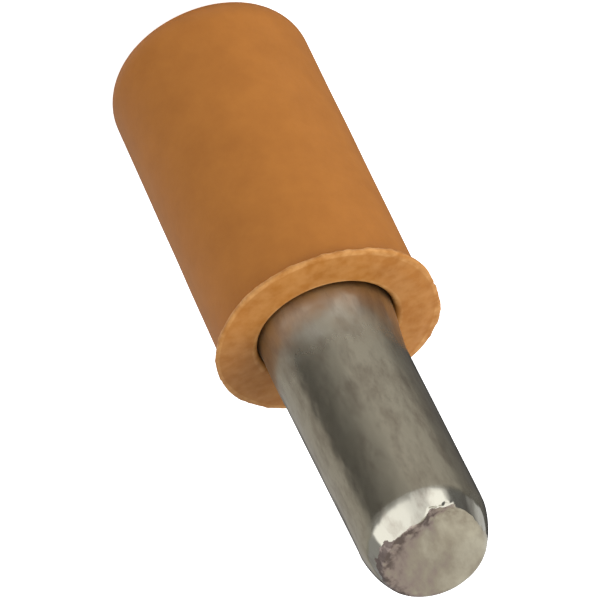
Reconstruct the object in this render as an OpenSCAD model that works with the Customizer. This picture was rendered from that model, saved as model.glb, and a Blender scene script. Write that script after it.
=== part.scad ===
// Shelf support pin: a bright plated steel pin pressed into a moulded plastic sleeve.
// The free end of the pin plugs into a drilled hole in the side of a cabinet, the sleeve's thin
// collar stops against the panel, and the shelf lies on the sleeve, which cushions it.
// Origin at the centre of the sleeve's closed end, +Z along the pin towards its tip, millimetres.

/* [Pin] */
// Diameter of the free end, which goes into the drilled hole
pin_d = 5; // [4:0.1:5.2]
// How far the free end stands out of the collar, to the tip
pin_reach = 11.6; // [6:0.1:25]
// Length of the crowned lead-in at the tip
lead_l = 1.6; // [0.6:0.1:2.5]
// How much the lead-in takes off the pin's radius at the end face
lead_depth = 0.55; // [0.2:0.05:1]
// How far the lead-in's side bows out from a straight chamfer
lead_bulge = 0.1; // [0.02:0.01:0.14]
// Diameter of the shank, the stretch that the sleeve grips
shank_d = 5.4; // [5.4:0.1:6.4]
// Chamfer on the buried end of the shank
shank_chamfer = 0.4; // [0.1:0.05:0.8]
// How far below the collar's face the free diameter starts
shoulder_drop = 0.1; // [0.05:0.05:1]
// Length of the taper from the free diameter up to the shank
shoulder_l = 1.5; // [0.3:0.1:3]

/* [Sleeve] */
// Outer diameter of the sleeve where it meets the collar
sleeve_d = 8.1; // [7.4:0.1:12]
// Length of the sleeve, from its closed end to the collar's face
sleeve_l = 14.2; // [8:0.1:30]
// Draft of the outer wall on each side, in degrees
draft = 0.55; // [0.1:0.05:1.5]
// Thickness of the closed end
end_wall = 1.4; // [0.8:0.1:3]
// Rounding of the closed end's rim
end_round = 1.5; // [0.3:0.1:2]
// Clearance between the shank and the bore all round: zero is a press fit, line to line
bore_clearance = 0; // [0:0.01:0.05]
// Rounding of the bore's mouth
mouth_round = 0.25; // [0.05:0.01:0.3]

/* [Collar] */
// How far the collar stands out past the sleeve all round
collar_lip = 0.32; // [0.2:0.01:1.5]
// Thickness of the collar
collar_t = 0.3; // [0.25:0.05:1.5]
// Rounding of the collar's two rims
collar_round = 0.12; // [0.04:0.01:0.12]

/* [Hidden] */
$fn = 128;

pin_r = pin_d / 2;
shank_r = shank_d / 2;
bore_r = shank_r + bore_clearance;
sleeve_r = sleeve_d / 2;
collar_r = sleeve_r + collar_lip;
collar_back_z = sleeve_l - collar_t;
end_r = sleeve_r - collar_back_z * tan(draft);

tip_z = sleeve_l + pin_reach;
face_r = pin_r - lead_depth;
free_z = sleeve_l - shoulder_drop;
shoulder_z = free_z - shoulder_l;

// The lead-in's side is an arc through both ends of the straight chamfer
lead_start = [pin_r, tip_z - lead_l];
lead_end = [face_r, tip_z];
lead_chord = norm(lead_end - lead_start);
crown_r = lead_chord ^ 2 / (8 * lead_bulge) + lead_bulge / 2;
lead_normal = [lead_l, lead_depth] / lead_chord;
crown_centre = (lead_start + lead_end) / 2 - lead_normal * (crown_r - lead_bulge);

// A rounding's circle reaches this far past the sides that it blends, so that it cuts them cleanly
blend_overlap = 0.0004;
// What a rounding takes away starts this far outside the corner, so that no side of it lies on the body's own
waste_margin = 0.3;

function unit(v) = v / norm(v);

// What rounding the corner between two straight sides takes away, in the half section
module corner_waste(before, corner, after, radius) {
    to_before = unit(before - corner);
    to_after = unit(after - corner);
    half_angle = acos(to_before * to_after) / 2;
    run = radius / tan(half_angle);
    inward = unit(to_before + to_after);
    outside = -inward * waste_margin;
    start = corner + to_before * run;
    end = corner + to_after * run;
    centre = corner + inward * radius / sin(half_angle);
    difference() {
        polygon([start, start + outside, corner + outside, end + outside, end]);
        translate(centre) circle(r = radius + blend_overlap);
    }
}

// Half section of the sleeve: drafted wall, closed end, thin collar and blind bore
module sleeve_section() {
    axis_low = [0, 0];
    end_rim = [end_r, 0];
    wall_top = [sleeve_r, collar_back_z];
    collar_back = [collar_r, collar_back_z];
    collar_front = [collar_r, sleeve_l];
    mouth = [bore_r, sleeve_l];
    bore_floor = [bore_r, end_wall];
    axis_high = [0, end_wall];
    difference() {
        polygon([axis_low, end_rim, wall_top, collar_back, collar_front, mouth, bore_floor, axis_high]);
        corner_waste(axis_low, end_rim, wall_top, end_round);
        corner_waste(wall_top, collar_back, collar_front, collar_round);
        corner_waste(collar_back, collar_front, mouth, collar_round);
        corner_waste(collar_front, mouth, bore_floor, mouth_round);
    }
}

// Half section of the pin: chamfered shank on the bore's floor, tapered shoulder, free end, crowned tip
module pin_section() {
    difference() {
        polygon([
            [0, end_wall],
            [shank_r - shank_chamfer, end_wall],
            [shank_r, end_wall + shank_chamfer],
            [shank_r, shoulder_z],
            [pin_r, free_z],
            [pin_r, tip_z],
            [0, tip_z],
        ]);
        translate(crown_centre) difference() {
            square(2 * crown_r);
            circle(r = crown_r);
        }
    }
}

// Moulded sleeve with its collar, one piece of semi-matt orange-brown plastic
module sleeve() {
    color("#B0713A") rotate_extrude() sleeve_section();
}

// Steel pin, cut to length, tumbled and bright plated
module pin() {
    color("#8C897C") rotate_extrude() pin_section();
}

sleeve();
pin();
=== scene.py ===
"""Shelf support pin: the looks of a plated steel pin in a moulded plastic sleeve."""

import math

import bmesh
import bpy
from bpy.props import FloatProperty, FloatVectorProperty, PointerProperty
from mathutils import Matrix, Vector, noise


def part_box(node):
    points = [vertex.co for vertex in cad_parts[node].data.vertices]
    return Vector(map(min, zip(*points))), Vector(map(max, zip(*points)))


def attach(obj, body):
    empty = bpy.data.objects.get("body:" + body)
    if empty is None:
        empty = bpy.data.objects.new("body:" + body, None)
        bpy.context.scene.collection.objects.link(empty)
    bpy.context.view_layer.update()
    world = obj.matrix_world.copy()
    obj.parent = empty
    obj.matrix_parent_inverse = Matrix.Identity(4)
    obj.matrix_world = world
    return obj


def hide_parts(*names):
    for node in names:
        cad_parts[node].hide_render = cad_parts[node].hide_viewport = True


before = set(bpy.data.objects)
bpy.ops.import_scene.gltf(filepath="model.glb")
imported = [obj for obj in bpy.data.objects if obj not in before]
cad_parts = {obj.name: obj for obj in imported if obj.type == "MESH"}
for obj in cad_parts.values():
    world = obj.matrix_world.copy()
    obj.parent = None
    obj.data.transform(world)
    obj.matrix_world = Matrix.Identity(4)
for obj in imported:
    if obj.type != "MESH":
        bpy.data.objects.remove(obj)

bl_info = {
    "name": "Shelf Support Pin",
    "version": (1, 0, 0),
    "blender": (4, 5, 0),
    "location": "3D View > Sidebar > Shelf Pin",
    "description": "Builds a plug-in shelf support: a plated steel pin in a moulded plastic sleeve",
    "category": "Object",
}

MM = 0.001
AXIS = Vector((0, 0, 1))
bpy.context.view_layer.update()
SLEEVE_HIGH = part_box("sleeve")[1]
PIN_LOW, PIN_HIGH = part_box("pin")

# Where the collar isn't quite round: the direction of each bulge, and its share of the full bulge
COLLAR_BULGES = (
    (Vector((-0.81, 0.59, 0)), 1.2),
    (Vector((0.83, 0.56, 0)), 0.8),
    (Vector((-0.87, -0.49, 0)), 0.8),
)
# How far down the sleeve's wall the collar's fillet runs, and how far the wall follows the collar's lean
FILLET_LENGTH = 1 * MM
LEAN_LENGTH = 3 * MM
# How far up the free end its bend sets in, and how far the flare at its root fades
BEND_ONSET = 2.5 * MM
FLARE_LENGTH = 2.6 * MM
# The side of the free end where the torn border is nicked
NICKED_SIDE = Vector((-0.41, -0.91, 0))


# Colour and node helpers

def linear(hex_colour):
    """An sRGB hex colour as a linear RGBA tuple."""
    channels = [int(hex_colour[i:i + 2], 16) / 255 for i in (1, 3, 5)]
    return (*[c / 12.92 if c <= 0.04045 else ((c + 0.055) / 1.055) ** 2.4 for c in channels], 1.0)


def per_mm(size_mm):
    """The texture scale whose cells are this many millimetres across."""
    return 1 / (size_mm * MM)


def add_node(tree, kind, settings=None, **inputs):
    """Adds a node, with its properties from settings and its sockets from inputs.

    A socket is named in words with underscores, or as in_0 for its number. It takes a value or another
    node's output.
    """
    node = tree.nodes.new(kind)
    for name, value in (settings or {}).items():
        setattr(node, name, value)
    for name, value in inputs.items():
        socket = node.inputs[int(name[3:]) if name.startswith("in_") else name.replace("_", " ")]
        if isinstance(value, bpy.types.NodeSocket):
            tree.links.new(value, socket)
        else:
            socket.default_value = value
    return node


def set_stops(ramp, stops):
    """Fills a colour ramp from (place, colour) pairs."""
    elements = ramp.color_ramp.elements
    while len(elements) < len(stops):
        elements.new(0.5)
    for element, (place, colour) in zip(elements, stops):
        element.position, element.color = place, colour


def new_material(name):
    """An empty material with its principled shader joined to the output."""
    material = bpy.data.materials.new(name)
    material.use_nodes = True
    tree = material.node_tree
    tree.nodes.clear()
    shader = add_node(tree, "ShaderNodeBsdfPrincipled")
    add_node(tree, "ShaderNodeOutputMaterial", Surface=shader.outputs["BSDF"])
    return material, tree, shader


# Mesh helpers

class SectionPen:
    """Draws a half section in the XZ plane as a chain of edges, as on a lathe drawing."""

    def __init__(self, mesh, x, z, heading):
        self.mesh = mesh
        self.heading = heading
        self.tip = bmesh.ops.create_vert(mesh, co=(x, 0, z))["vert"][0]

    def direction(self, turn=0.0):
        """The heading, or the way this far to its left, as a vector."""
        angle = self.heading + turn
        return Vector((math.cos(angle), 0, math.sin(angle)))

    def run(self, length, parts=1):
        """A straight side in the heading's direction."""
        for _ in range(parts):
            made = bmesh.ops.extrude_vert_indiv(self.mesh, verts=[self.tip])
            self.tip = made["verts"][0]
            bmesh.ops.translate(self.mesh, verts=[self.tip], vec=self.direction() * (length / parts))

    def arc(self, radius, turn, parts):
        """A round side that turns the heading, to the left where turn is positive."""
        side = math.copysign(math.pi / 2, turn)
        centre = self.tip.co + self.direction(side) * radius
        made = bmesh.ops.spin(
            self.mesh, geom=[self.tip], cent=centre, axis=(0, -1, 0), angle=turn, steps=parts
        )
        self.tip = [item for item in made["geom_last"] if isinstance(item, bmesh.types.BMVert)][0]
        self.heading += turn

    def line_to(self, x, z, parts=1):
        """A straight side to a point, which leaves the heading along it."""
        way = Vector((x, 0, z)) - self.tip.co
        self.heading = math.atan2(way.z, way.x)
        self.run(way.length, parts)


def smooth_rise(value, low, high):
    """Climbs smoothly from 0 at low to 1 at high."""
    share = min(max((value - low) / (high - low), 0.0), 1.0)
    return share * share * (3 - 2 * share)


def soft_min(first, second, reach):
    """The smaller of two values, rounded where they are within reach of each other."""
    near = max(reach - abs(first - second), 0.0) / reach
    return min(first, second) - near * near * reach / 4


def unevenness(place, size_mm, seed=0.0):
    """Smooth noise from about -1 to 1, with lumps of the given size."""
    return noise.noise(place / (size_mm * MM) + Vector((seed, seed, seed)))


def outward(place):
    """The direction away from the axis, and the distance from it."""
    away = Vector((place.x, place.y, 0))
    return away.normalized(), away.length


def turned(mesh, steps):
    """Spins a half section into a closed solid of revolution."""
    section = mesh.verts[:] + mesh.edges[:]
    bmesh.ops.spin(
        mesh, geom=section, cent=(0, 0, 0), axis=AXIS, angle=math.tau, steps=steps, use_merge=True
    )
    bmesh.ops.remove_doubles(mesh, verts=mesh.verts[:], dist=0.0002 * MM)
    bmesh.ops.recalc_face_normals(mesh, faces=mesh.faces[:])


def finished_piece(mesh, name, materials, sharp_angle):
    """Turns a bmesh into an object at the origin, smooth but for its sharp edges."""
    for face in mesh.faces:
        face.smooth = True
    for edge in mesh.edges:
        edge.smooth = edge.is_manifold and edge.calc_face_angle() < sharp_angle
    data = bpy.data.meshes.new(name)
    mesh.to_mesh(data)
    mesh.free()
    for material in materials:
        data.materials.append(material)
    piece = bpy.data.objects.new(name, data)
    bpy.context.scene.collection.objects.link(piece)
    return piece


# Materials

def moulded_plastic(settings):
    """Polypropylene, injection moulded and coloured orange-brown.

    It looks semi-matt, with a faint mottle where the pigment is unevenly spread and a fine grain from the
    mould. The collar, its rim and the lip of the mouth are painted paler in patches, as a painted highlight.
    """
    material, tree, shader = new_material("moulded_polypropylene")
    coords = add_node(tree, "ShaderNodeTexCoord").outputs["Object"]

    clouds = add_node(
        tree, "ShaderNodeTexNoise", Vector=coords, Scale=per_mm(1.4), Detail=5.0, Roughness=0.65
    )
    pigment = add_node(tree, "ShaderNodeValToRGB", Fac=clouds.outputs["Fac"])
    set_stops(pigment, ((0.3, (*settings.plastic_dark, 1)), (0.7, (*settings.plastic_light, 1))))

    flat = add_node(
        tree, "ShaderNodeVectorMath", {"operation": "MULTIPLY"}, in_0=coords, in_1=(1, 1, 0)
    )
    radius = add_node(
        tree, "ShaderNodeVectorMath", {"operation": "LENGTH"}, in_0=flat.outputs["Vector"]
    ).outputs["Value"]
    # Painted highlight: the lip of the mouth, the collar's rim and the collar are mixed towards a paler
    # colour in patches, where these faces catch the light.
    lip_r = PIN_HIGH.x + 0.55 * settings.mouth_round
    lip = add_node(
        tree, "ShaderNodeMapRange", {"interpolation_type": "SMOOTHSTEP"}, Value=radius,
        From_Min=lip_r + 0.22 * MM, From_Max=lip_r + 0.05 * MM,
    )
    rim_r = SLEEVE_HIGH.x
    rim = add_node(
        tree, "ShaderNodeMapRange", {"interpolation_type": "SMOOTHSTEP"}, Value=radius,
        From_Min=rim_r - 0.22 * MM, From_Max=rim_r - 0.08 * MM,
    )
    edges = add_node(
        tree, "ShaderNodeMath", {"operation": "ADD"}, in_0=lip.outputs["Result"], in_1=rim.outputs["Result"]
    )
    height = add_node(tree, "ShaderNodeSeparateXYZ", Vector=coords).outputs["Z"]
    collar = add_node(
        tree, "ShaderNodeMapRange", Value=height, To_Max=0.45,
        From_Min=SLEEVE_HIGH.z - 0.45 * MM, From_Max=SLEEVE_HIGH.z - 0.25 * MM,
    )
    painted_highlight_mask = add_node(
        tree, "ShaderNodeMath", {"operation": "MAXIMUM"},
        in_0=edges.outputs["Value"], in_1=collar.outputs["Result"],
    )
    highlight_patches_noise = add_node(tree, "ShaderNodeTexNoise", Vector=coords, Scale=per_mm(0.5), Detail=3.0)
    highlight_patches = add_node(
        tree, "ShaderNodeMapRange", Value=highlight_patches_noise.outputs["Fac"],
        From_Min=0.35, From_Max=0.65, To_Min=0.15, To_Max=0.75,
    )
    patchy_painted_highlight = add_node(
        tree, "ShaderNodeMath", {"operation": "MULTIPLY"},
        in_0=painted_highlight_mask.outputs["Value"], in_1=highlight_patches.outputs["Result"],
    )
    pigment_and_highlight = add_node(
        tree, "ShaderNodeMix", {"data_type": "RGBA"}, in_0=patchy_painted_highlight.outputs["Value"],
        in_6=pigment.outputs["Color"], in_7=(*settings.plastic_highlight, 1),
    )
    tree.links.new(pigment_and_highlight.outputs[2], shader.inputs["Base Color"])

    shader.inputs["IOR"].default_value = 1.49
    shader.inputs["Specular IOR Level"].default_value = 0.25
    wear = add_node(tree, "ShaderNodeTexNoise", Vector=coords, Scale=per_mm(0.9), Detail=2.0)
    gloss = add_node(tree, "ShaderNodeMapRange", Value=wear.outputs["Fac"], To_Min=0.4, To_Max=0.5)
    tree.links.new(gloss.outputs["Result"], shader.inputs["Roughness"])

    grain = add_node(tree, "ShaderNodeTexNoise", Vector=coords, Scale=per_mm(0.16), Detail=2.0)
    bump = add_node(
        tree, "ShaderNodeBump", Height=grain.outputs["Fac"], Strength=0.35, Distance=0.012 * MM
    )
    tree.links.new(bump.outputs["Normal"], shader.inputs["Normal"])
    return material


def plated_steel(settings):
    """Zinc-plated steel wire, drawn, cut and tumbled.

    The plating mirrors its surroundings softly. It has dull blotches and shallow dents, both drawn out
    along the wire. Tumbling has polished the tip, and it stays dullest beside the sleeve.
    """
    material, tree, shader = new_material("zinc_plated_steel")
    coords = add_node(tree, "ShaderNodeTexCoord").outputs["Object"]

    along = add_node(tree, "ShaderNodeMapping", Vector=coords, Scale=(1, 1, 0.4)).outputs["Vector"]
    blotches = add_node(
        tree, "ShaderNodeTexNoise", Vector=along, Scale=per_mm(0.7), Detail=5.0, Roughness=0.65
    )
    tint = add_node(tree, "ShaderNodeValToRGB", Fac=blotches.outputs["Fac"])
    set_stops(tint, ((0.32, (*settings.plating_dull, 1)), (0.55, (*settings.plating_bright, 1))))
    tree.links.new(tint.outputs["Color"], shader.inputs["Base Color"])

    shader.inputs["Metallic"].default_value = 1.0
    dullness = add_node(
        tree, "ShaderNodeMapRange", Value=blotches.outputs["Fac"], To_Min=0.3, To_Max=0.14
    )
    height = add_node(tree, "ShaderNodeSeparateXYZ", Vector=coords).outputs["Z"]
    polished = add_node(
        tree, "ShaderNodeMapRange", Value=height, To_Min=1.0, To_Max=0.5,
        From_Min=PIN_HIGH.z - 1.4 * MM, From_Max=PIN_HIGH.z - 1.0 * MM,
    )
    sheltered = add_node(
        tree, "ShaderNodeMapRange", Value=height, To_Min=1.8, To_Max=1.0,
        From_Min=SLEEVE_HIGH.z + 0.5 * MM, From_Max=SLEEVE_HIGH.z + 3 * MM,
    )
    tumbling = add_node(
        tree, "ShaderNodeMath", {"operation": "MULTIPLY"},
        in_0=polished.outputs["Result"], in_1=sheltered.outputs["Result"],
    )
    gloss = add_node(
        tree, "ShaderNodeMath", {"operation": "MULTIPLY"},
        in_0=dullness.outputs["Result"], in_1=tumbling.outputs["Value"],
    )
    tree.links.new(gloss.outputs["Value"], shader.inputs["Roughness"])

    drawn = add_node(tree, "ShaderNodeMapping", Vector=coords, Scale=(1, 1, 0.6)).outputs["Vector"]
    dents = add_node(tree, "ShaderNodeTexNoise", Vector=drawn, Scale=per_mm(0.9), Detail=1.5)
    bump = add_node(
        tree, "ShaderNodeBump", Height=dents.outputs["Fac"], Strength=1.0, Distance=0.06 * MM
    )
    tree.links.new(bump.outputs["Normal"], shader.inputs["Normal"])
    return material


def sheared_steel(settings):
    """Bare steel where the wire was sheared to length.

    It is dull, with a warm oxide tint and random stains, and the shear left it torn. Its face is painted
    paler towards -X, where the soft box lights it, and darker on the other side, as painted light and shade;
    its rim is painted darker as painted shade.
    """
    material, tree, shader = new_material("sheared_steel")
    coords = add_node(tree, "ShaderNodeTexCoord").outputs["Object"]

    drawn_out = add_node(tree, "ShaderNodeMapping", Vector=coords, Scale=(1, 0.45, 1)).outputs["Vector"]
    stains = add_node(
        tree, "ShaderNodeTexNoise", Vector=drawn_out, Scale=per_mm(0.8), Detail=4.0, Roughness=0.6
    )
    across = add_node(
        tree, "ShaderNodeVectorMath", {"operation": "DOT_PRODUCT"}, in_0=coords, in_1=(1, -0.45, 0)
    ).outputs["Value"]
    # Painted light and shade: the face is painted paler towards -X, the side the soft box lights, and darker
    # on the other side.
    painted_side_light = add_node(
        tree, "ShaderNodeMapRange", Value=across,
        From_Min=1.4 * MM, From_Max=-1.7 * MM, To_Min=-0.45, To_Max=0.1,
    )
    stains_and_painted_light = add_node(
        tree, "ShaderNodeMath", {"operation": "MULTIPLY_ADD"}, in_0=stains.outputs["Fac"], in_1=1.4,
        in_2=painted_side_light.outputs["Result"],
    )

    flat = add_node(
        tree, "ShaderNodeVectorMath", {"operation": "MULTIPLY"}, in_0=coords, in_1=(1, 1, 0)
    )
    radius = add_node(
        tree, "ShaderNodeVectorMath", {"operation": "LENGTH"}, in_0=flat.outputs["Vector"]
    ).outputs["Value"]
    # Painted shade: the rim of the face is painted darker in patches, most towards +X, away from the soft
    # box, as shade in the crevice at its torn border.
    rim = add_node(
        tree, "ShaderNodeMapRange", Value=radius, From_Min=1.45 * MM, From_Max=1.95 * MM, To_Max=0.6
    )
    shade_side = add_node(
        tree, "ShaderNodeMapRange", Value=across, From_Min=-1.2 * MM, From_Max=0.2 * MM, To_Min=0.3
    )
    rim_shade_noise = add_node(tree, "ShaderNodeTexNoise", Vector=coords, Scale=per_mm(0.35), Detail=3.0)
    rim_shade_patches = add_node(
        tree, "ShaderNodeMapRange", Value=rim_shade_noise.outputs["Fac"], From_Min=0.36, From_Max=0.66
    )
    patchy_rim_shade = add_node(
        tree, "ShaderNodeMath", {"operation": "MULTIPLY"},
        in_0=rim.outputs["Result"], in_1=rim_shade_patches.outputs["Result"],
    )
    painted_rim_shade = add_node(
        tree, "ShaderNodeMath", {"operation": "MULTIPLY"},
        in_0=patchy_rim_shade.outputs["Value"], in_1=shade_side.outputs["Result"],
    )
    shade = add_node(
        tree, "ShaderNodeMath", {"operation": "SUBTRACT"},
        in_0=stains_and_painted_light.outputs["Value"], in_1=painted_rim_shade.outputs["Value"],
    )
    tint = add_node(tree, "ShaderNodeValToRGB", Fac=shade.outputs["Value"])
    set_stops(tint, (
        (0.0, (*settings.face_rim_shade, 1)), (0.24, (*settings.face_dark, 1)),
        (0.45, (*settings.face_stained, 1)), (0.9, (*settings.face_light, 1)),
    ))
    tree.links.new(tint.outputs["Color"], shader.inputs["Base Color"])

    shader.inputs["Metallic"].default_value = 1.0
    shader.inputs["Roughness"].default_value = 0.55
    tearing = add_node(
        tree, "ShaderNodeTexNoise", Vector=drawn_out, Scale=per_mm(0.4), Detail=3.0, Roughness=0.6
    )
    bump = add_node(
        tree, "ShaderNodeBump", Height=tearing.outputs["Fac"], Strength=0.6, Distance=0.03 * MM
    )
    tree.links.new(bump.outputs["Normal"], shader.inputs["Normal"])
    return material


# Settings

class ShelfPinSleeve(bpy.types.PropertyGroup):
    """Sizes and colours of the moulded sleeve."""

    draft: FloatProperty(
        name="Draft", description="Lean of the outer wall", default=math.radians(0.55), subtype="ANGLE"
    )
    end_wall: FloatProperty(
        name="End wall", description="Thickness of the closed end",
        default=1.4 * MM, unit="LENGTH", precision=5,
    )
    end_round: FloatProperty(
        name="End rounding", description="Radius of the closed end's rim",
        default=1.5 * MM, unit="LENGTH", precision=5,
    )
    collar_lip: FloatProperty(
        name="Collar lip", description="How far the collar stands out past the sleeve",
        default=0.32 * MM, unit="LENGTH", precision=5,
    )
    collar_thickness: FloatProperty(
        name="Collar thickness", description="Thickness of the collar",
        default=0.3 * MM, unit="LENGTH", precision=5,
    )
    collar_round: FloatProperty(
        name="Collar rounding", description="Radius of the collar's rims",
        default=0.12 * MM, unit="LENGTH", precision=5,
    )
    mouth_round: FloatProperty(
        name="Mouth rounding", description="Radius of the bore's mouth",
        default=0.25 * MM, unit="LENGTH", precision=5,
    )
    collar_skew: FloatProperty(
        name="Collar skew", description="Lean of the collar, which is moulded a little out of square",
        default=math.radians(2.4), subtype="ANGLE",
    )
    collar_lift: FloatProperty(
        name="Collar lift", description="How much further forward the collar stands on one side",
        default=0.15 * MM, unit="LENGTH", precision=5,
    )
    collar_dish: FloatProperty(
        name="Collar dish", description="How far the collar's face falls towards its rim",
        default=0.07 * MM, unit="LENGTH", precision=5,
    )
    collar_bulge: FloatProperty(
        name="Collar bulge", description="How far the collar bulges out where it is not quite round",
        default=0.13 * MM, unit="LENGTH", precision=5,
    )
    collar_fillet: FloatProperty(
        name="Collar fillet", description="Height of the fillet behind one side of the collar",
        default=0.12 * MM, unit="LENGTH", precision=5,
    )
    wall_waves: FloatProperty(
        name="Wall waves", description="Depth of the long waves in the sleeve's walls",
        default=0.012 * MM, unit="LENGTH", precision=6,
    )
    rim_waves: FloatProperty(
        name="Rim waves", description="Depth of the short waves in the collar's rim",
        default=0.02 * MM, unit="LENGTH", precision=6,
    )
    rim_beads: FloatProperty(
        name="Rim beads", description="Height of the beads of flash on the collar's rim",
        default=0.06 * MM, unit="LENGTH", precision=5,
    )
    plastic_dark: FloatVectorProperty(
        name="Dark plastic", description="Plastic where the pigment is dense",
        default=linear("#A56623")[:3], subtype="COLOR",
    )
    plastic_light: FloatVectorProperty(
        name="Light plastic", description="Plastic where the pigment is thin",
        default=linear("#B06F29")[:3], subtype="COLOR",
    )
    # The paler colour of the painted highlight on the collar, its rim and the mouth's lip.
    plastic_highlight: FloatVectorProperty(
        name="Highlight plastic", description="Plastic painted paler on the collar and its edges, as a painted highlight",
        default=linear("#DBA465")[:3], subtype="COLOR",
    )


class ShelfPinSteel(bpy.types.PropertyGroup):
    """Sizes and colours of the steel pin."""

    free_diameter: FloatProperty(
        name="Free diameter", description="Diameter of the end that plugs in",
        default=5 * MM, unit="LENGTH", precision=5,
    )
    lead_length: FloatProperty(
        name="Lead-in length", description="Length of the crowned lead-in",
        default=1.6 * MM, unit="LENGTH", precision=5,
    )
    lead_depth: FloatProperty(
        name="Lead-in depth", description="What the lead-in takes off the radius",
        default=0.55 * MM, unit="LENGTH", precision=5,
    )
    lead_bulge: FloatProperty(
        name="Lead-in bulge", description="How far the lead-in bows out",
        default=0.1 * MM, unit="LENGTH", precision=5,
    )
    shoulder_drop: FloatProperty(
        name="Shoulder drop", description="How far below the collar's face the free diameter starts",
        default=0.1 * MM, unit="LENGTH", precision=5,
    )
    shoulder_length: FloatProperty(
        name="Shoulder length", description="Length of the taper between the shank and the free end",
        default=1.5 * MM, unit="LENGTH", precision=5,
    )
    shank_chamfer: FloatProperty(
        name="Shank chamfer", description="Chamfer on the buried end",
        default=0.4 * MM, unit="LENGTH", precision=5,
    )
    root_flare: FloatProperty(
        name="Root flare", description="What the free end gains in radius where it leaves the sleeve",
        default=0.13 * MM, unit="LENGTH", precision=5,
    )
    lean: FloatProperty(
        name="Lean", description="How far the free end is bent out of line",
        default=math.radians(1.34), subtype="ANGLE",
    )
    dents: FloatProperty(
        name="Dents", description="Depth of the dents that tumbling left",
        default=0.006 * MM, unit="LENGTH", precision=6,
    )
    rim_round: FloatProperty(
        name="Rim rounding", description="Radius that the crown turns over into the sheared face with",
        default=0.35 * MM, unit="LENGTH", precision=5,
    )
    shear_slope: FloatProperty(
        name="Shear slope", description="How far out of square the end was sheared",
        default=math.radians(6.3), subtype="ANGLE",
    )
    face_drop: FloatProperty(
        name="Face drop", description="How far below the tip the middle of the sheared face lies",
        default=0.07 * MM, unit="LENGTH", precision=5,
    )
    torn_depth: FloatProperty(
        name="Torn depth", description="How far down the crown the end face is chipped on one side",
        default=0.36 * MM, unit="LENGTH", precision=5,
    )
    tearing: FloatProperty(
        name="Tearing", description="Height of the bumps on the sheared end face",
        default=0.03 * MM, unit="LENGTH", precision=5,
    )
    nick_depth: FloatProperty(
        name="Nick depth", description="Depth of the nick in the torn border",
        default=0.04 * MM, unit="LENGTH", precision=5,
    )
    plating_dull: FloatVectorProperty(
        name="Dull plating", description="Plating in the blotches",
        default=linear("#99907E")[:3], subtype="COLOR",
    )
    plating_bright: FloatVectorProperty(
        name="Bright plating", description="Plating between the blotches",
        default=linear("#B3AD99")[:3], subtype="COLOR",
    )
    # The colour of the painted shade on the rim of the face.
    face_rim_shade: FloatVectorProperty(
        name="Rim shade face", description="End face where its rim is painted darker, as painted shade",
        default=linear("#7C6E64")[:3], subtype="COLOR",
    )
    # The dark face colour serves random stains and the painted shade on the side away from the soft box.
    face_dark: FloatVectorProperty(
        name="Dark face", description="End face where it is stained and painted shaded",
        default=linear("#AE9D90")[:3], subtype="COLOR",
    )
    face_stained: FloatVectorProperty(
        name="Stained face", description="End face where it has a thin oxide",
        default=linear("#B8AD97")[:3], subtype="COLOR",
    )
    # The light face colour serves random stains and the painted light on the side the soft box lights.
    face_light: FloatVectorProperty(
        name="Light face", description="End face where it is stained and painted lit",
        default=linear("#D9D1B9")[:3], subtype="COLOR",
    )


class ShelfPinStage(bpy.types.PropertyGroup):
    """The camera's place and lens."""

    elevation: FloatProperty(
        name="Elevation", description="Height of the view above the floor",
        default=math.radians(36.3), subtype="ANGLE",
    )
    roll: FloatProperty(
        name="Roll", description="Turn of the camera about its line of sight",
        default=math.radians(154.9), subtype="ANGLE",
    )
    distance: FloatProperty(
        name="Distance", description="From the camera to the sleeve's mouth", default=0.56, unit="LENGTH"
    )
    lens: FloatProperty(name="Lens", description="Focal length in millimetres", default=900.0)
    aim_right: FloatProperty(
        name="Aim right", description="How far the mouth stands right of the view's centre",
        default=1.03 * MM, unit="LENGTH", precision=5,
    )
    aim_down: FloatProperty(
        name="Aim down", description="How far the mouth stands below the view's centre",
        default=1.19 * MM, unit="LENGTH", precision=5,
    )


# The sleeve

class SHELFPIN_OT_sleeve(bpy.types.Operator):
    """Makes the moulded sleeve: drafted wall, closed end, collar and blind bore"""

    bl_idname = "shelfpin.sleeve"
    bl_label = "Moulded Sleeve"

    def execute(self, context):
        size = context.scene.shelf_pin_sleeve
        collar_r = SLEEVE_HIGH.x
        front_z = SLEEVE_HIGH.z
        back_z = front_z - size.collar_thickness
        bore_r = PIN_HIGH.x
        mouth_r = bore_r + size.mouth_round
        wall_r = collar_r - size.collar_lip
        wall_lean = math.tan(size.draft)
        end_r = wall_r - back_z * wall_lean
        corner = math.pi / 2 - size.draft
        flat_r = end_r - size.end_round * math.tan(corner / 2)

        mesh = bmesh.new()
        pen = SectionPen(mesh, 0, 0, heading=0.0)
        pen.run(flat_r, parts=12)
        pen.arc(size.end_round, corner, parts=16)
        pen.line_to(wall_r - FILLET_LENGTH * wall_lean, back_z - FILLET_LENGTH, parts=44)
        pen.line_to(wall_r, back_z, parts=10)
        pen.line_to(collar_r - size.collar_round, back_z, parts=3)
        pen.arc(size.collar_round, math.pi / 2, parts=6)
        pen.run(size.collar_thickness - 2 * size.collar_round, parts=2)
        pen.arc(size.collar_round, math.pi / 2, parts=6)
        pen.line_to(mouth_r, front_z, parts=12)
        pen.arc(size.mouth_round, math.pi / 2, parts=7)
        pen.line_to(bore_r, size.end_wall, parts=12)
        pen.line_to(0, size.end_wall, parts=4)
        turned(mesh, steps=512)
        for vert in mesh.verts:
            place = vert.co.copy()
            vert.co += moulding_flaws(place, size, wall_r, mouth_r, back_z)
            vert.co.z += collar_out_of_square(place, size, wall_r, back_z)

        piece = finished_piece(mesh, "moulded_sleeve", [moulded_plastic(size)], math.radians(35))
        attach(piece, "root")
        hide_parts("sleeve")
        return {"FINISHED"}


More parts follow.
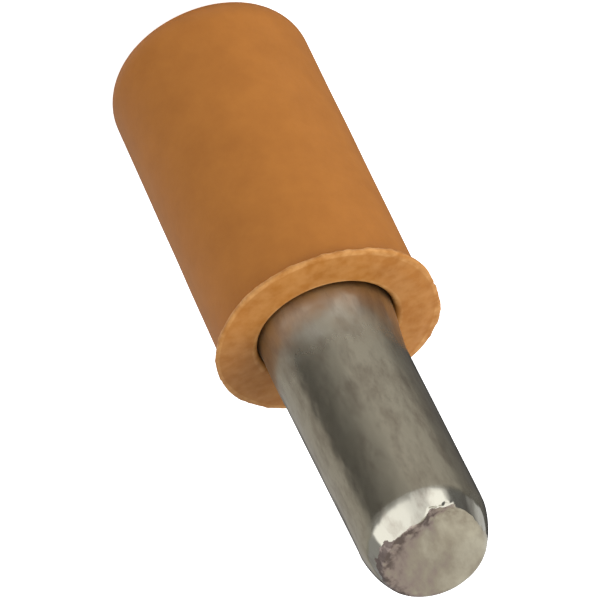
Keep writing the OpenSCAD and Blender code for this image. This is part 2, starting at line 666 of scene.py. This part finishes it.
def moulding_flaws(place, size, wall_r, mouth_r, back_z):
    """How far a point is moved by the sleeve's wavy walls and by the collar's flash, bulges and fillet."""
    away, radius = outward(place)
    in_rim = smooth_rise(radius, wall_r + 0.4 * size.collar_lip, wall_r + 0.8 * size.collar_lip)
    waves = size.wall_waves * unevenness(place, 2.5) + size.rim_waves * in_rim * unevenness(place, 0.7)
    waves *= smooth_rise(radius, 1 * MM, 2 * MM)
    bead = size.rim_beads * in_rim * max(unevenness(place, 0.3, seed=7.0) - 0.05, 0.0)
    bulge = size.collar_bulge * in_rim * max(
        share * smooth_rise(away.dot(side), 0.86, 0.99) for side, share in COLLAR_BULGES
    )
    fillet = 0.0
    if radius > mouth_r and place.z <= back_z:
        fillet = size.collar_fillet * smooth_rise(-place.x, 2 * MM, 4 * MM) * (1 - in_rim)
        fillet *= smooth_rise(place.z, back_z - FILLET_LENGTH, back_z) ** 2
    on_back = smooth_rise(back_z + size.collar_round - place.z, 0, size.collar_round)
    return away * (waves + bead + bulge + fillet) - AXIS * (bead * on_back)


def collar_out_of_square(place, size, wall_r, back_z):
    """How far a point of the collar stands forward: it leans, is lifted on one side and has a dished face."""
    _, radius = outward(place)
    near_collar = smooth_rise(place.z, back_z - LEAN_LENGTH, back_z)
    lifted = smooth_rise(place.x, 2 * MM, 4.2 * MM) * smooth_rise(-place.y, -1 * MM, 2 * MM)
    leaning = size.collar_lift * lifted - place.x * math.tan(size.collar_skew)
    on_face = smooth_rise(place.z, back_z + 0.5 * size.collar_thickness, back_z + size.collar_thickness)
    dished = size.collar_dish * smooth_rise(radius, wall_r - 0.35 * MM, wall_r + size.collar_lip)
    return leaning * near_collar - dished * on_face


# The pin

class SHELFPIN_OT_steel(bpy.types.Operator):
    """Makes the steel pin: shank, free end, crowned lead-in and sheared end face"""

    bl_idname = "shelfpin.steel"
    bl_label = "Steel Pin"

    def execute(self, context):
        size = context.scene.shelf_pin_steel
        free_r = size.free_diameter / 2
        shank_r = PIN_HIGH.x
        low_z, tip_z = PIN_LOW.z, PIN_HIGH.z
        free_z = SLEEVE_HIGH.z - size.shoulder_drop
        lead = Vector((-size.lead_depth, 0, size.lead_length))
        lead_angle = math.atan2(lead.z, lead.x)
        crown_r = lead.length_squared / (8 * size.lead_bulge) + size.lead_bulge / 2
        half_arc = math.asin(lead.length / (2 * crown_r))
        rim_turn = math.pi - lead_angle - half_arc
        rim_run = size.rim_round * math.tan(rim_turn / 2)

        mesh = bmesh.new()
        pen = SectionPen(mesh, 0, low_z, heading=0.0)
        pen.run(shank_r - size.shank_chamfer, parts=4)
        pen.line_to(shank_r, low_z + size.shank_chamfer)
        pen.line_to(shank_r, free_z - size.shoulder_length, parts=12)
        pen.line_to(free_r, free_z, parts=6)
        pen.line_to(free_r, tip_z - size.lead_length, parts=64)
        pen.heading = lead_angle - half_arc
        pen.arc(crown_r, 2 * half_arc - rim_run / crown_r, parts=44)
        pen.arc(size.rim_round, rim_turn, parts=10)
        pen.line_to(0, tip_z, parts=44)
        turned(mesh, steps=320)
        for face in mesh.faces:
            place = face.calc_center_median()
            face.material_index = int(place.z > torn_border(place, size, tip_z))
        for vert in mesh.verts:
            place = vert.co.copy()
            if place.z >= free_z - size.shoulder_length:
                vert.co += tumbled(place, size, free_z, tip_z) + sheared(place, size, tip_z)

        materials = [plated_steel(size), sheared_steel(size)]
        piece = finished_piece(mesh, "plated_pin", materials, math.radians(30))
        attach(piece, "root")
        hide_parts("pin")
        return {"FINISHED"}


def tumbled(place, size, free_z, tip_z):
    """How far a point of the free end is moved by its bend, its dents and the flare at its root."""
    lead_z = tip_z - size.lead_length
    unmoved_z = (free_z + lead_z) / 2 + 1.5 * MM
    bend = (unmoved_z - place.z) * math.tan(size.lean)
    bend *= smooth_rise(place.z, free_z, free_z + BEND_ONSET)
    bend *= 1 - 0.6 * smooth_rise(place.z, tip_z - 2.2 * MM, tip_z - 0.2 * MM)

    away, radius = outward(place)
    drawn = Vector((place.x, place.y, 0.4 * place.z))
    in_crown = smooth_rise(place.z, lead_z, lead_z + 0.5 * MM)
    dent = size.dents * (unevenness(drawn, 1.2) + in_crown * unevenness(place, 0.7))
    dent *= smooth_rise(radius, 0.3 * MM, 1 * MM)
    flare = size.root_flare * (1 - smooth_rise(place.z, free_z, free_z + FLARE_LENGTH))
    outside = smooth_rise(place.z, free_z - size.shoulder_length, free_z)
    return away * ((dent + flare) * outside) + Vector((bend, 0, 0))


def sheared_height(place, size, tip_z):
    """Height of the sheared face, which is cut a little out of square and chipped on one side."""
    chipped = smooth_rise(-place.x, -0.1 * MM, 0.8 * MM) * smooth_rise(-place.y, 0.2 * MM, 1.9 * MM)
    return tip_z - size.face_drop + place.y * math.tan(size.shear_slope) - size.torn_depth * chipped


def torn_border(place, size, tip_z):
    """Height of the ragged border between the crown and the sheared metal."""
    crown_top = tip_z - 0.2 * MM
    below_face = 0.04 * MM
    smeared = 0.28 * MM * smooth_rise(place.x, 0.8 * MM, 1.5 * MM) * smooth_rise(-place.y, 0, 1 * MM)
    coarse = 0.08 * MM * unevenness(place, 0.6, seed=11.0)
    fine = 0.12 * MM * unevenness(place, 0.22, seed=12.0)
    return min(sheared_height(place, size, tip_z), crown_top) - below_face - smeared + coarse + fine


def sheared(place, size, tip_z):
    """How far a point is moved by the shear, which cuts and tears the end face and leaves a burr."""
    cut_z = sheared_height(place, size, tip_z)
    at_tip = smooth_rise(place.z, tip_z - 0.3 * MM, tip_z)
    drawn_up_z = place.z + max(cut_z - tip_z, 0.0) * at_tip
    corner_reach = 0.12 * MM
    cut = soft_min(drawn_up_z, cut_z, corner_reach) - place.z

    away, radius = outward(place)
    above = place.z - torn_border(place, size, tip_z)
    in_face = smooth_rise(above, 0, 0.1 * MM)
    drawn_out = Vector((place.x, 0.45 * place.y, place.z))
    torn = unevenness(drawn_out, 0.45, seed=3.0) + 0.5 * unevenness(drawn_out, 0.2, seed=5.0)
    burr = smooth_rise(radius, 1.5 * MM, 1.9 * MM) * smooth_rise(-place.y, 0.3 * MM, 1.2 * MM)
    torn += 2.5 * burr * unevenness(place, 0.24, seed=9.0)

    face_r = size.free_diameter / 2 - size.lead_depth
    ragged = 0.5 * size.tearing * in_face * torn * smooth_rise(radius, 0.5 * face_r, face_r)
    nick = size.nick_depth * smooth_rise(away.dot(NICKED_SIDE), 0.96, 0.99)
    nick *= 1 - smooth_rise(abs(above + 0.02 * MM), 0, 0.1 * MM)
    return away * (ragged - nick) + AXIS * (cut - size.tearing * in_face * (0.5 + 0.5 * torn))


# The stage

# Brightness of the screens that stand round the part, by their bearing in degrees from the front. There
# are three rings, one above the other, and only the part's gloss shows them.
TABLE_SCREENS = (
    (-180, 0.03), (-166, 0.05), (-150, 0.5), (-105, 0.56), (-86, 0.54), (-75, 0.13), (-56, 0.16),
    (-34, 0.24), (-12, 0.38), (4, 0.5), (18, 0.64), (60, 0.62), (90, 0.54), (106, 0.28), (140, 0.2),
    (166, 0.05), (180, 0.03),
)
LEDGE_SCREENS = (
    (-180, 0.3), (-90, 0.45), (-80, 0.03), (60, 0.03), (72, 0.25), (180, 0.1),
)
WINDOW_SCREENS = (
    (-180, 0.6), (-150, 0.5), (-85, 0.5), (-80, 2.0), (-14, 1.9), (0, 1.5), (22, 1.45), (34, 2.1),
    (58, 2.1), (66, 0.25), (100, 0.25), (125, 0.9), (155, 0.9), (180, 0.6),
)
# Each ring with its tint, from the lowest
RINGS = (
    (TABLE_SCREENS, (1.0, 0.97, 0.96)),
    (LEDGE_SCREENS, (1.0, 1.0, 0.95)),
    (WINDOW_SCREENS, (0.94, 0.98, 1.1)),
)
# The elevations, in degrees, between which the ledge, the windows and the ceiling take over from below
CLIMBS = ((-22.6, -21.4), (-19.4, -18.4), (26, 42))
CEILING = (0.3, 0.3, 0.3, 1)
# What a screen as bright as a colour of 1 gives
SCREEN_STRENGTH = 2.5
SKY_STRENGTH = 0.56


class SHELFPIN_OT_stage(bpy.types.Operator):
    """Sets the floor, the light and the camera"""

    bl_idname = "shelfpin.stage"
    bl_label = "Stage"

    def execute(self, context):
        make_floor()
        make_surroundings()
        make_soft_box()
        make_camera(context.scene.shelf_pin_stage)
        context.scene.view_settings.view_transform = "Standard"
        return {"FINISHED"}


def make_floor():
    """A white light table under the part, bright enough that shadows stay faint."""
    mesh = bmesh.new()
    bmesh.ops.create_grid(mesh, x_segments=1, y_segments=1, size=3.0)
    data = bpy.data.meshes.new("floor")
    mesh.to_mesh(data)
    mesh.free()
    floor = bpy.data.objects.new("floor", data)
    bpy.context.scene.collection.objects.link(floor)
    material, tree, shader = new_material("white_light_table")
    shader.inputs["Base Color"].default_value = linear("#F0F0F0")
    shader.inputs["Roughness"].default_value = 0.9
    shader.inputs["Specular IOR Level"].default_value = 0.0
    shader.inputs["Emission Color"].default_value = (1, 1, 1, 1)
    seen = add_node(tree, "ShaderNodeLightPath").outputs["Is Camera Ray"]
    glow = add_node(
        tree, "ShaderNodeMath", {"operation": "MULTIPLY_ADD"}, in_0=seen, in_1=0.7, in_2=0.22
    )
    tree.links.new(glow.outputs["Value"], shader.inputs["Emission Strength"])
    data.materials.append(material)
    floor.visible_glossy = False


def make_surroundings():
    """An even white sky, with screens that only the gloss of the part sees."""
    world = bpy.data.worlds.new("studio")
    bpy.context.scene.world = world
    world.use_nodes = True
    tree = world.node_tree
    tree.nodes.clear()
    direction = add_node(tree, "ShaderNodeTexCoord").outputs["Generated"]
    parts = add_node(tree, "ShaderNodeSeparateXYZ", Vector=direction)
    to_left = add_node(
        tree, "ShaderNodeMath", {"operation": "MULTIPLY"}, in_0=parts.outputs["X"], in_1=-1.0
    )
    to_front = add_node(
        tree, "ShaderNodeMath", {"operation": "MULTIPLY"}, in_0=parts.outputs["Y"], in_1=-1.0
    )
    angle = add_node(
        tree, "ShaderNodeMath", {"operation": "ARCTAN2"},
        in_0=to_left.outputs["Value"], in_1=to_front.outputs["Value"],
    )
    bearing = add_node(
        tree, "ShaderNodeMapRange", Value=angle.outputs["Value"], From_Min=-math.pi, From_Max=math.pi
    ).outputs["Result"]

    rings = []
    for stops, tint in RINGS:
        ring = add_node(tree, "ShaderNodeValToRGB", Fac=bearing)
        set_stops(ring, [
            ((degrees + 180) / 360, (*[level / SCREEN_STRENGTH * share for share in tint], 1))
            for degrees, level in stops
        ])
        rings.append(ring.outputs["Color"])
    shade = rings[0]
    for (start, end), higher in zip(CLIMBS, (*rings[1:], CEILING)):
        risen = add_node(
            tree, "ShaderNodeMapRange", Value=parts.outputs["Z"],
            From_Min=math.sin(math.radians(start)), From_Max=math.sin(math.radians(end)),
        )
        mixed = add_node(
            tree, "ShaderNodeMix", {"data_type": "RGBA"},
            in_0=risen.outputs["Result"], in_6=shade, in_7=higher,
        )
        shade = mixed.outputs[2]

    path = add_node(tree, "ShaderNodeLightPath")
    screens = add_node(tree, "ShaderNodeBackground", Color=shade, Strength=SCREEN_STRENGTH)
    sky = add_node(tree, "ShaderNodeBackground", Color=(1, 1, 1, 1), Strength=SKY_STRENGTH)
    backdrop = add_node(tree, "ShaderNodeBackground", Color=(1, 1, 1, 1), Strength=1.0)
    lit = add_node(
        tree, "ShaderNodeMixShader", in_0=path.outputs["Is Glossy Ray"],
        in_1=sky.outputs["Background"], in_2=screens.outputs["Background"],
    )
    seen = add_node(
        tree, "ShaderNodeMixShader", in_0=path.outputs["Is Camera Ray"],
        in_1=lit.outputs["Shader"], in_2=backdrop.outputs["Background"],
    )
    add_node(tree, "ShaderNodeOutputWorld", Surface=seen.outputs["Shader"])


def make_soft_box():
    """A soft box overhead, to the left of the part and a little in front of it."""
    data = bpy.data.lights.new("soft_box", "AREA")
    data.size = 0.4
    data.energy = 2.65
    light = bpy.data.objects.new("soft_box", data)
    away = Vector((-0.55, -0.26, 0.79)).normalized()
    aimed = away.to_track_quat("Z", "Y").to_matrix().to_4x4()
    light.matrix_world = Matrix.Translation(away * 0.6) @ aimed
    light.visible_glossy = False
    bpy.context.scene.collection.objects.link(light)


def make_camera(stage):
    """A long lens that looks down on the standing part, rolled so that its tip points to the lower right."""
    back = Vector((0, -math.cos(stage.elevation), math.sin(stage.elevation)))
    level_right = Vector((1, 0, 0))
    level_up = back.cross(level_right)
    right = math.cos(stage.roll) * level_right + math.sin(stage.roll) * level_up
    up = back.cross(right)
    mouth = Vector((0, 0, SLEEVE_HIGH.z))
    aim = mouth - right * stage.aim_right + up * stage.aim_down
    data = bpy.data.cameras.new("camera")
    data.lens = stage.lens
    data.clip_start, data.clip_end = 0.01, 10.0
    camera = bpy.data.objects.new("camera", data)
    turned_view = Matrix((right, up, back)).transposed().to_4x4()
    camera.matrix_world = Matrix.Translation(aim + back * stage.distance) @ turned_view
    bpy.context.scene.collection.objects.link(camera)
    bpy.context.scene.camera = camera


# Panel and registration

# Each piece's operator, its settings on the scene and their class
PARTS = (
    ("shelfpin.sleeve", "shelf_pin_sleeve", ShelfPinSleeve),
    ("shelfpin.steel", "shelf_pin_steel", ShelfPinSteel),
    ("shelfpin.stage", "shelf_pin_stage", ShelfPinStage),
)


class SHELFPIN_PT_panel(bpy.types.Panel):
    """Lists the pieces and their settings"""

    bl_idname = "SHELFPIN_PT_panel"
    bl_label = "Shelf Pin"
    bl_space_type = "VIEW_3D"
    bl_region_type = "UI"
    bl_category = "Shelf Pin"

    def draw(self, context):
        for operator, settings, group in PARTS:
            self.layout.operator(operator)
            for name in group.__annotations__:
                self.layout.prop(getattr(context.scene, settings), name)


CLASSES = (
    *[group for _, _, group in PARTS],
    SHELFPIN_OT_sleeve, SHELFPIN_OT_steel, SHELFPIN_OT_stage, SHELFPIN_PT_panel,
)


def register():
    for cls in CLASSES:
        bpy.utils.register_class(cls)
    for _, settings, group in PARTS:
        setattr(bpy.types.Scene, settings, PointerProperty(type=group))


def unregister():
    for _, settings, _ in PARTS:
        delattr(bpy.types.Scene, settings)
    for cls in reversed(CLASSES):
        bpy.utils.unregister_class(cls)


def main():
    register()
    bpy.ops.shelfpin.sleeve()
    bpy.ops.shelfpin.steel()
    bpy.ops.shelfpin.stage()


if __name__ == "__main__":
    main()
